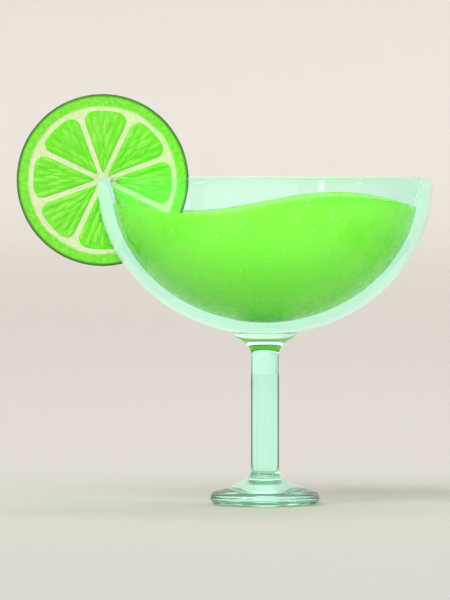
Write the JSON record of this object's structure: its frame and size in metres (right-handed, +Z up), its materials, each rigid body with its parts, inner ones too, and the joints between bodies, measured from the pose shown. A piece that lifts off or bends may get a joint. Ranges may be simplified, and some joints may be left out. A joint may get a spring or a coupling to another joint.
{
  "type": "margarita cocktail",
  "caption": "Heavy stemmed coupe glass filled with a green blended margarita whose surface holds a soft swell, with a lime wheel slotted over the rim.",
  "frame": {"origin": "centre of the flat underside of the glass's foot", "axes": "+Z up along the glass's axis; the lime wheel faces -Y and sits over the rim on the -X side"},
  "size_m": [0.134, 0.108, 0.1323],
  "materials": {
    "mint_glass": "clear mint-tinted glass, polished",
    "drink": "wet, fine-grained blended ice",
    "lime": "cut lime, moist pulp and waxy rind"
  },
  "bodies": {
    "root": {"glass": "mint_glass", "drink": "drink", "lime_wheel": "lime"}
  },
  "joints": []
}
